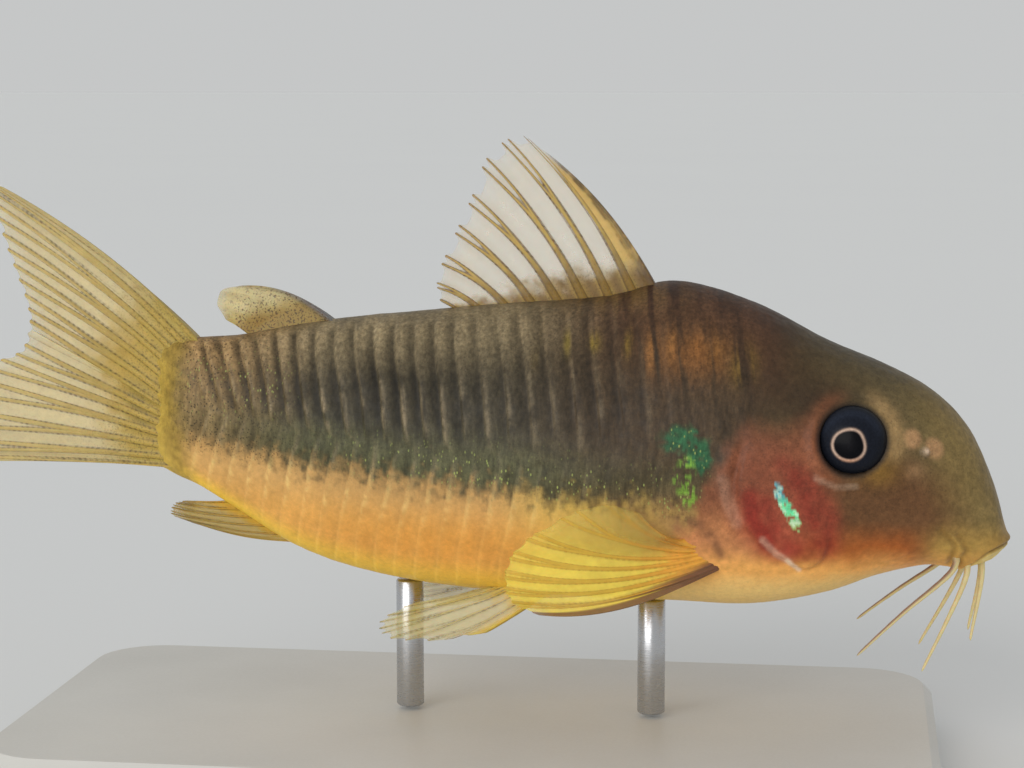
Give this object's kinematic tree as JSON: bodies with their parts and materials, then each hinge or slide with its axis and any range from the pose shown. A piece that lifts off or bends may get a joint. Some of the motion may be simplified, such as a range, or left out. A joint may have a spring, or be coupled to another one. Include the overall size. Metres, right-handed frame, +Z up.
{
  "type": "corydoras catfish model on display stand",
  "caption": "Life-size still model of an armoured corydoras catfish, swimming with fins and barbels spread, held by short rods on a flat display base.",
  "frame": {"origin": "centre of the display base's underside", "axes": "+X towards the fish's head, +Y towards its left side, +Z up out of its back"},
  "size_m": [0.071, 0.032, 0.0413],
  "materials": {
    "skin": "wet gloss over fine speckles",
    "eye": "polished",
    "fin": "wet, slightly translucent",
    "barbel": "wet gloss",
    "stand_base": "satin",
    "stand_rod": "brushed"
  },
  "bodies": {
    "root": {"head": "skin", "torso": "skin", "tail": "skin", "gill_cover_left": "skin", "gill_cover_right": "skin", "eye_left": "eye", "eye_right": "eye", "dorsal_fin": "fin", "adipose_fin": "fin", "tail_fin_upper": "fin", "tail_fin_lower": "fin", "anal_fin": "fin", "pectoral_fin_left": "fin", "pectoral_fin_right": "fin", "pelvic_fin_left": "fin", "pelvic_fin_right": "fin", "barbel_upper_left": "barbel", "barbel_upper_right": "barbel", "barbel_lower_left": "barbel", "barbel_lower_right": "barbel", "barbel_chin_left": "barbel", "barbel_chin_right": "barbel", "stand_base": "stand_base", "stand_rod_front": "stand_rod", "stand_rod_rear": "stand_rod"}
  },
  "joints": []
}
